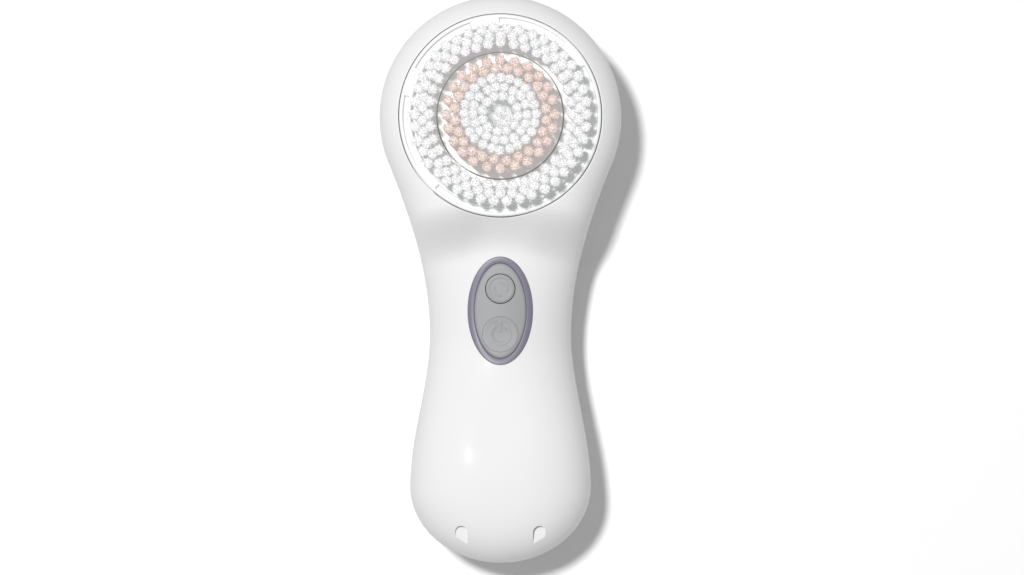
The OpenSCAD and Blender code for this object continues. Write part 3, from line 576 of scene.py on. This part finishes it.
def slotCutter(x):
    r = slots["width"] / 2
    steps = 24
    ring = [(r * math.cos(t), r * math.sin(t)) for t in (math.pi * i / steps for i in range(steps + 1))]
    ring += [(-r, -slots["length"]), (r, -slots["length"])]
    cutter = prism("cutter", ring, 0, 20)
    turn = Matrix.Rotation(math.radians(slots["tilt"]), 4, "X")
    cutter.data.transform(Matrix.Translation(Vector((x, slots["y"], slots["z"])) * mm) @ turn)
    return cutter


# The boss that closes a slot towards the inside
def slotPocket(x):
    half = slots["pocket"]
    corners = [(x + a * half, slots["y"] + b * half) for a, b in ((-1, -1), (1, -1), (1, 1), (-1, 1))]
    points = [(px, py, slots["pocketLow"]) for px, py in corners]
    points += [(px, py, baseZ(px, py) - slots["pocketCover"]) for px, py in corners]
    faces = [(3, 2, 1, 0), (4, 5, 6, 7), (0, 1, 5, 4), (1, 2, 6, 5), (2, 3, 7, 6), (3, 0, 4, 7)]
    return meshObject("pocket", points, faces)


# A section, (radius, height), turned round the head's centre
def turned(name, section, count=192):
    points = []
    for radius, height in section:
        for i in range(count):
            t = 2 * math.pi * i / count
            points.append((radius * math.cos(t), headY + radius * math.sin(t), height))
    return meshObject(name, points, gridFaces(len(section), count))


# The collar inside the opening that the socket sits in
collar = {"foot": 24.05, "width": 1.95, "shoulder": 35.7, "lip": 37.2, "inset": 0.03}


def collarTube():
    inner = socketR + collar["inset"]
    outer = socketR + collar["width"]
    return turned("collar", [(inner, collar["foot"]), (outer, collar["foot"]),
                             (outer, collar["shoulder"]), (inner, collar["lip"])])


padLow, padHigh = span("button_pad")
panelY = (padLow.y + padHigh.y) / 2
bezel = {"width": 1.65, "stand": 0.25, "gap": 0.03, "cutLow": 25, "cutHigh": 60}
bezelAcross = padHigh.x + bezel["width"]
bezelAlong = (padHigh.y - padLow.y) / 2 + bezel["width"]

frontShell = shellHalf("frontShell", 1, True)
slotSides = (-slots["pitch"] / 2, slots["pitch"] / 2)
panelHole = ovalRing(bezelAcross + bezel["gap"], bezelAlong + bezel["gap"], panelY)
panelCutter = prism("cutter", panelHole, bezel["cutLow"], bezel["cutHigh"])
carve(frontShell, [panelCutter] + [slotCutter(x) for x in slotSides],
      [slotPocket(x) for x in slotSides] + [collarTube()])
settle(frontShell, "handle", "white_shell", "front_shell")
rearShell = shellHalf("rearShell", -1, False)
settle(rearShell, "handle", "white_shell", "rear_shell")

# The oval bezel's section, from its outer edge inwards, with heights above the front
bezelSection = rounded([
    (0, -1.6, 0), (0, bezel["stand"] - 0.02, 0.22), (0.85, bezel["stand"], 0),
    (bezel["width"], bezel["stand"] - 0.1, 0.3), (bezel["width"], -3, 0.1), (bezel["width"] + 0.4, -3.4, 0),
    (0, -3.4, 0),
])


# The section carried round the opening, following the front
def buildBezel():
    points = []
    for inwards, up in bezelSection:
        ring = ovalRing(bezelAcross - inwards, bezelAlong - inwards, panelY)
        points += [(x, y, frontZ(x, y) + up) for x, y in ring]
    return meshObject("buttonBezel", points, gridFaces(len(bezelSection), len(ring)))


settle(buildBezel(), "handle", "bezel_lavender", "button_bezel", sharp=50)

# The silicone pad and its two keys share one surface, a little above the front
pad = {"stand": 0.5, "edge": 0.55, "base": 29.6, "speedGap": 0.16, "powerGap": 0.04}
speedLow, speedHigh = span("speed_button")
powerLow, powerHigh = span("power_button")
speedY = (speedLow.y + speedHigh.y) / 2
powerY = (powerLow.y + powerHigh.y) / 2
speedR = speedHigh.x
powerR = powerHigh.x


def padZ(x, y):
    return frontZ(x, y) + pad["stand"]


# A cap over an oval: upright sides from its foot, and a top that falls away at a rounded edge. edgeRows
# are the distances from the edge at which its rows start, and the rest are evenly spaced.
def cap(name, across, along, centreY, low, top, edge, edgeRows, rows, count):
    inwards = edgeRows + [mix(edgeRows[-1], across, k / rows) for k in range(1, rows + 1)]
    points = [(x, y, low) for x, y in ovalRing(across, along, centreY, count)]
    for step in inwards:
        ring = ovalRing(across - step, mix(along, 0, step / across), centreY, count)
        points += [(x, y, top(x, y - centreY) - edgeDrop(step, edge)) for x, y in ring]
    points.append((0, centreY, low))
    faces = gridFaces(len(inwards) + 1, count, closeRows=False)
    faces += [(len(points) - 1, i, (i + 1) % count) for i in range(count)]
    return meshObject(name, points, faces)


def buildPad():
    edgeRows = [0, 0.02, 0.07, 0.16, 0.28, 0.42, 0.6]
    piece = cap("buttonPad", padHigh.x, (padHigh.y - padLow.y) / 2, panelY, pad["base"],
                lambda x, y: padZ(x, y + panelY), pad["edge"], edgeRows, 22, 144)
    holes = [(speedY, speedR + pad["speedGap"]), (powerY, powerR + pad["powerGap"])]
    carve(piece, [prism("cutter", ovalRing(r, r, y, 96), 20, bezel["cutHigh"]) for y, r in holes])
    return piece


settle(buildPad(), "handle", "grey_silicone", "button_pad")

# The keys' raised signs: an arc with a bar, and two arcs in a ring; angles in degrees
signs = {"relief": 0.09, "powerArc": 2.35, "powerSpread": 285, "powerBar": (0.9, 2.9), "powerStroke": 0.42,
         "speedArc": 1.6, "speedSpread": 105, "speedTurns": (35, 215), "speedStroke": 0.3,
         "ring": 2.95, "ringStroke": 0.28, "ringLift": 1.2}


# Height of a soft stroke at a distance from its middle line
def stroke(distance, half):
    return signs["relief"] * ease(1.5 - distance / half)


# Distance from an arc round the origin, which spreads evenly about a middle angle
def arcDistance(x, y, radius, middle, spread):
    angle = math.degrees(math.atan2(y, x)) - middle
    angle = (angle + 180) % 360 - 180
    held = math.radians(middle + max(-spread / 2, min(spread / 2, angle)))
    return math.hypot(x - radius * math.cos(held), y - radius * math.sin(held))


def powerSign(x, y):
    arc = arcDistance(x, y, signs["powerArc"], -90, signs["powerSpread"])
    low, high = signs["powerBar"]
    bar = math.hypot(x, y - max(low, min(high, y)))
    return stroke(min(arc, bar), signs["powerStroke"])


def speedSign(x, y):
    radius, spread = signs["speedArc"], signs["speedSpread"]
    arcs = min(arcDistance(x, y, radius, turn, spread) for turn in signs["speedTurns"])
    ring = abs(math.hypot(x, y) - signs["ring"])
    return stroke(arcs, signs["speedStroke"]) + signs["ringLift"] * stroke(ring, signs["ringStroke"])


# The keys stand in the pad's holes: the speed key's top is flat, the power key's is dished
keys = {"foot": 30.7, "speedDrop": 0.2, "speedEdge": 0.25, "powerDish": 0.42, "dishReach": 1.15,
        "powerEdge": 0.03}
speedTop = speedHigh.z - keys["speedDrop"]


def speedFace(x, y):
    return speedTop + speedSign(x, y)


def powerFace(x, y):
    dish = keys["powerDish"] * ease(keys["dishReach"] - math.hypot(x, y) / powerR)
    return padZ(x, y + powerY) - dish + powerSign(x, y)


def keyCap(name, centreY, radius, top, edge):
    return cap(name, radius, radius, centreY, keys["foot"], top, edge, [0, 0.03, 0.09, 0.18, 0.3], 34, 120)


settle(keyCap("speedKey", speedY, speedR, speedFace, keys["speedEdge"]),
       "speed_key", "grey_silicone", "speed_button", sharp=60)
settle(keyCap("powerKey", powerY, powerR, powerFace, keys["powerEdge"]),
       "power_key", "grey_silicone", "power_button", sharp=60)

# The retainer ring: a rounded section whose top sinks between the grip tabs; angles in degrees
ring = {"grip": 2.9, "tabs": 6, "tabAngle": 17, "tabStart": 31, "recess": 1.6, "rim": 0.8,
        "skirt": 2.4, "skirtWall": 1.5, "seat": 6.9, "under": 6.7, "slope": 0.9}
ringTop = ringHigh.z
ringIn = ringR - ring["grip"]
skirtR = ringR - ring["skirt"]
recessOut = ringR - ring["rim"]
recessIn = ringIn + ring["rim"]


# The ring's section, (radius, height, share of the recess's depth)
def ringSection():
    shelf = [(recessOut + 0.08, 0), (recessOut, 0.05), (recessOut - 0.05, 0.5), (recessOut - 0.1, 0.94),
             (recessOut - 0.22, 1), (recessOut - 0.6, 1), (recessIn + 0.22, 1),
             (recessIn + 0.1, 0.94), (recessIn + 0.05, 0.5), (recessIn, 0.05), (recessIn - 0.08, 0)]
    outside = rounded([
        (skirtR - ring["skirtWall"], ringLow.z, 0.2), (skirtR, ringLow.z, 0.3),
        (skirtR, ringTop - ring["under"], 0.1), (ringR, ringTop - ring["under"], 0.3), (ringR, ringTop, 0.5),
        (recessOut + 0.1, ringTop, 0)])
    inside = rounded([
        (recessIn - 0.1, ringTop, 0), (ringIn, ringTop, 0.45), (ringIn, ringTop - ring["seat"], 0.1),
        (skirtR - ring["skirtWall"], ringTop - ring["seat"], 0.1),
        (skirtR - ring["skirtWall"], ringLow.z, 0.2)])
    section = [(p.x, p.y, 0) for p in outside[5:]]
    section += [(r, ringTop, sunk) for r, sunk in shelf]
    section += [(p.x, p.y, 0) for p in inside]
    return section


# Angles round the ring, close together where a recess slopes, each with its distance from the tab's middle
def ringAngles():
    pitch = 360 / ring["tabs"]
    half = ring["tabAngle"] / 2
    slope = ring["slope"]
    steps = [mix(-half, half, k / 6) for k in range(1, 6)]
    steps += [half + slope * f for f in (0, 0.2, 0.4, 0.6, 0.8, 1)]
    steps += [mix(half + slope, pitch - half - slope, k / 24) for k in range(1, 24)]
    steps += [pitch - half - slope * f for f in (1, 0.8, 0.6, 0.4, 0.2, 0)]
    turn = ring["tabStart"] + half
    return [(turn + i * pitch + s, s) for i in range(ring["tabs"]) for s in steps]


def buildRing():
    pitch = 360 / ring["tabs"]
    half = ring["tabAngle"] / 2
    section = ringSection()
    angles = ringAngles()
    points = []
    for r, z, sunk in section:
        for angle, step in angles:
            away = min(abs(step), abs(pitch - step)) - half
            depth = ring["recess"] * sunk * ease(away / ring["slope"])
            t = math.radians(angle)
            points.append((r * math.cos(t), headY + r * math.sin(t), z - depth))
    return meshObject("retainerRing", points, gridFaces(len(section), len(angles)))


settle(buildRing(), "brush_head", "frosted_plastic", "retainer_ring", sharp=40)


# The tufts of CAD nodes, (x, y, foot, tip): one for each loose cylinder
def tuftsOf(*nodes):
    sameAs = 1e-6  # metres
    found = []
    for node in nodes:
        form = bmesh.new()
        form.from_mesh(frame["nodes"][node].data)
        bmesh.ops.remove_doubles(form, verts=form.verts, dist=sameAs)
        left = set(form.verts)
        while left:
            island = [left.pop()]
            for vert in island:
                for edge in vert.link_edges:
                    other = edge.other_vert(vert)
                    if other in left:
                        left.remove(other)
                        island.append(other)
            low = Vector([min(v.co[k] for v in island) for k in range(3)])
            high = Vector([max(v.co[k] for v in island) for k in range(3)])
            middle = (low + high) / 2 / mm
            found.append((middle.x, middle.y, low.z / mm, high.z / mm))
        form.free()
    return sorted((round(x, 3), round(y, 3), low, high) for x, y, low, high in found)


# How a tuft is built: core holds the rings of its dense middle, (share of the height, radius, share of the
# tip's radius), and strand the rings of a filament, (share of the length, share of the radius)
tuft = {"core": [(0, 0.6, 0), (0.5, 0.75, 0), (0.8, 0, 0.86), (0.87, 0, 0.8), (0.9, 0, 0.4)],
        "strand": [(0, 1), (0.35, 1), (0.7, 1), (0.965, 0.95), (1, 0.5)],
        "coreSides": 8, "strandSides": 5, "bow": 0.06, "splay": 0.25,
        "closeWithin": 3, "closeUp": -0.45, "closeShift": (0.9, -1, 0)}


# A closed tube through rings of points, added to a field's points and faces
def addTube(points, faces, rings):
    first = len(points)
    sides = len(rings[0])
    for ring in rings:
        points += ring
    faces += [tuple(first + v for v in face) for face in gridFaces(len(rings), sides, closeRows=False)]
    faces.append(tuple(first + s for s in reversed(range(sides))))
    faces.append(tuple(first + sides * (len(rings) - 1) + s for s in range(sides)))


# The dense middle of a tuft, where single filaments can't be told apart
def coreRings(x, y, low, high, lean, look, draw):
    rings = []
    for share, plain, ofTip in tuft["core"]:
        centre = (x + lean.x * share, y + lean.y * share)
        ring = []
        for s in range(tuft["coreSides"]):
            a = 2 * math.pi * s / tuft["coreSides"]
            r = (plain + ofTip * look["tip"]) * draw.uniform(0.9, 1.1)
            ring.append((centre[0] + r * math.cos(a), centre[1] + r * math.sin(a), mix(low, high, share)))
        rings.append(ring)
    return rings


# One filament, bowed a little and splayed most near its tip
def strandRings(foot, tip, bow, turn, radius):
    rings = []
    for share, thin in tuft["strand"]:
        centre = foot.lerp(tip, share) + bow * 4 * share * (1 - share)
        centre.x -= (tip.x - foot.x) * tuft["splay"] * share * (1 - share)
        centre.y -= (tip.y - foot.y) * tuft["splay"] * share * (1 - share)
        angles = [turn + 2 * math.pi * s / tuft["strandSides"] for s in range(tuft["strandSides"])]
        r = radius * thin
        rings.append([(centre.x + r * math.cos(a), centre.y + r * math.sin(a), centre.z) for a in angles])
    return rings


# Bundles of fine filaments, splayed and trimmed a little unevenly
def bristleField(name, tufts, look, seed):
    draw = random.Random(seed)
    golden = math.pi * (3 - math.sqrt(5))
    points = []
    faces = []
    for x, y, low, high in tufts:
        middle = Vector((x, y - headY, 0))
        lean = middle * (look["gather"] - 1) + Vector(look["shift"])
        if middle.length < tuft["closeWithin"]:  # the innermost tufts close up over the centre
            lean = middle * tuft["closeUp"] + Vector(tuft["closeShift"])
        lean += Vector((draw.gauss(0, look["lean"]), draw.gauss(0, look["lean"]), 0))
        addTube(points, faces, coreRings(x, y, low, high, lean, look, draw))
        for i in range(look["count"]):
            turn = i * golden + draw.uniform(-0.3, 0.3)
            out = math.sqrt((i + 0.5) / look["count"])
            way = Vector((math.cos(turn), math.sin(turn), 0)) * out
            foot = Vector((x, y, low)) + way * look["foot"]
            tip = Vector((x, y, high - draw.uniform(0, look["trim"]))) + lean + way * look["tip"]
            tip += Vector((draw.gauss(0, look["stray"]), draw.gauss(0, look["stray"]), 0))
            bow = Vector((draw.gauss(0, tuft["bow"]), draw.gauss(0, tuft["bow"]), 0))
            addTube(points, faces, strandRings(foot, tip, bow, turn, look["radius"]))
    return meshObject(name, points, faces, join=False)


# The looks of the three fields: filaments in a tuft, its radii at foot and tip, how far its tips lean at
# random, gather towards the head's centre, shift together and stray, how unevenly they are trimmed, and
# the radius of one filament
outerLook = {"count": 46, "foot": 0.6, "tip": 1.5, "lean": 0.12, "gather": 1, "shift": (0.1, -0.1, 0),
             "stray": 0.12, "trim": 1, "radius": 0.115}
pinkLook = {"count": 46, "foot": 0.62, "tip": 1.45, "lean": 0.1, "gather": 0.96, "shift": (0.15, -0.15, 0),
            "stray": 0.12, "trim": 1, "radius": 0.115}
clearLook = {"count": 44, "foot": 0.62, "tip": 1.4, "lean": 0.14, "gather": 0.94, "shift": (0, 0, 0),
             "stray": 0.13, "trim": 1, "radius": 0.115}
outerTufts = tuftsOf("outer_tufts")
half = len(outerTufts) // 2
settle(bristleField("outerBristlesLeft", outerTufts[:half], outerLook, 3),
       "brush_head", "clear_bristle", "outer_tufts")
settle(bristleField("outerBristlesRight", outerTufts[half:], outerLook, 8),
       "brush_head", "clear_bristle", "outer_tufts")
settle(bristleField("guideBristles", tuftsOf("outer_guide_tufts"), outerLook, 4),
       "brush_head", "clear_bristle", "outer_guide_tufts")
settle(bristleField("pinkBristles", tuftsOf("pink_tufts", "pink_guide_tufts"), pinkLook, 5),
       "inner_brush", "pink_bristle", "pink_tufts", "pink_guide_tufts")
settle(bristleField("clearBristles", tuftsOf("clear_tufts"), clearLook, 7),
       "inner_brush", "clear_bristle", "clear_tufts")

# The flat blades that bring the arm back to the middle, each running straight from its post to the arm
blade = {"reach": 10.58, "arm": 4.02, "steps": 16}


def springBlade(name, side):
    low, high = span("centring_springs")
    points = []
    for k in range(blade["steps"] + 1):
        x = side * mix(blade["arm"], blade["reach"], k / blade["steps"])
        points += [(x, y, z) for y, z in ((low.y, low.z), (high.y, low.z), (high.y, high.z), (low.y, high.z))]
    faces = gridFaces(blade["steps"] + 1, 4, closeRows=False)
    faces += [(3, 2, 1, 0), tuple(len(points) - 4 + i for i in range(4))]
    piece = meshObject(name, points, faces)
    piece.data.materials.append(finishes["steel"])
    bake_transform(piece)
    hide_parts("centring_springs")
    print("piece:", name)


springBlade("springRight", 1)
springBlade("springLeft", -1)

# Light and floor; the lamp's place and size are in metres, the floor's in millimetres
studio = {"fill": 0.33, "key": 19, "keyPlace": (-0.28, 0.27, 1.5), "keySize": 0.14,
          "floor": 0.95, "floorHalf": 700, "floorLow": -2, "floorTop": -0.02}


def buildFloor():
    half = studio["floorHalf"]
    ring = [(-half, -half), (half, -half), (half, half), (-half, half)]
    floor = prism("floorSheet", ring, studio["floorLow"], studio["floorTop"])
    pale = [studio["floor"]] * 3

    def paint(at):
        return {"Base Color": noise(at, 300).blend([c - 0.01 for c in pale], pale), "Roughness": 0.9}
    floor.data.materials.append(finish("floorPaint", paint, **{"Specular IOR Level": 0.0}))


def buildStudio():
    world = bpy.data.worlds.new("studioFill")
    world.use_nodes = True
    world.node_tree.nodes["Background"].inputs["Color"].default_value = (1, 1, 1, 1)
    world.node_tree.nodes["Background"].inputs["Strength"].default_value = studio["fill"]
    bpy.context.scene.world = world
    lamp = bpy.data.lights.new("keyLight", "AREA")
    lamp.shape = "DISK"
    lamp.size = studio["keySize"]
    lamp.energy = studio["key"]
    key = bpy.data.objects.new("keyLight", lamp)
    key.location = studio["keyPlace"]
    key.rotation_euler = (-key.location).to_track_quat("-Z", "Y").to_euler()
    bpy.context.collection.objects.link(key)


# The camera looks straight down: field is the width it sees at the height of the plane, in millimetres
view = {"x": 2.9, "y": -1.75, "plane": 22, "distance": 950, "field": 256, "sensor": 36}


def buildCamera():
    data = bpy.data.cameras.new("camera")
    data.sensor_width = view["sensor"]
    data.lens = view["sensor"] * view["distance"] / view["field"]
    data.clip_start = 0.01
    camera = bpy.data.objects.new("camera", data)
    camera.location = Vector((view["x"], view["y"], view["plane"] + view["distance"])) * mm
    bpy.context.collection.objects.link(camera)
    bpy.context.scene.camera = camera


buildFloor()
buildStudio()
buildCamera()
bpy.context.scene.view_settings.view_transform = "Standard"
print("studio: ready")
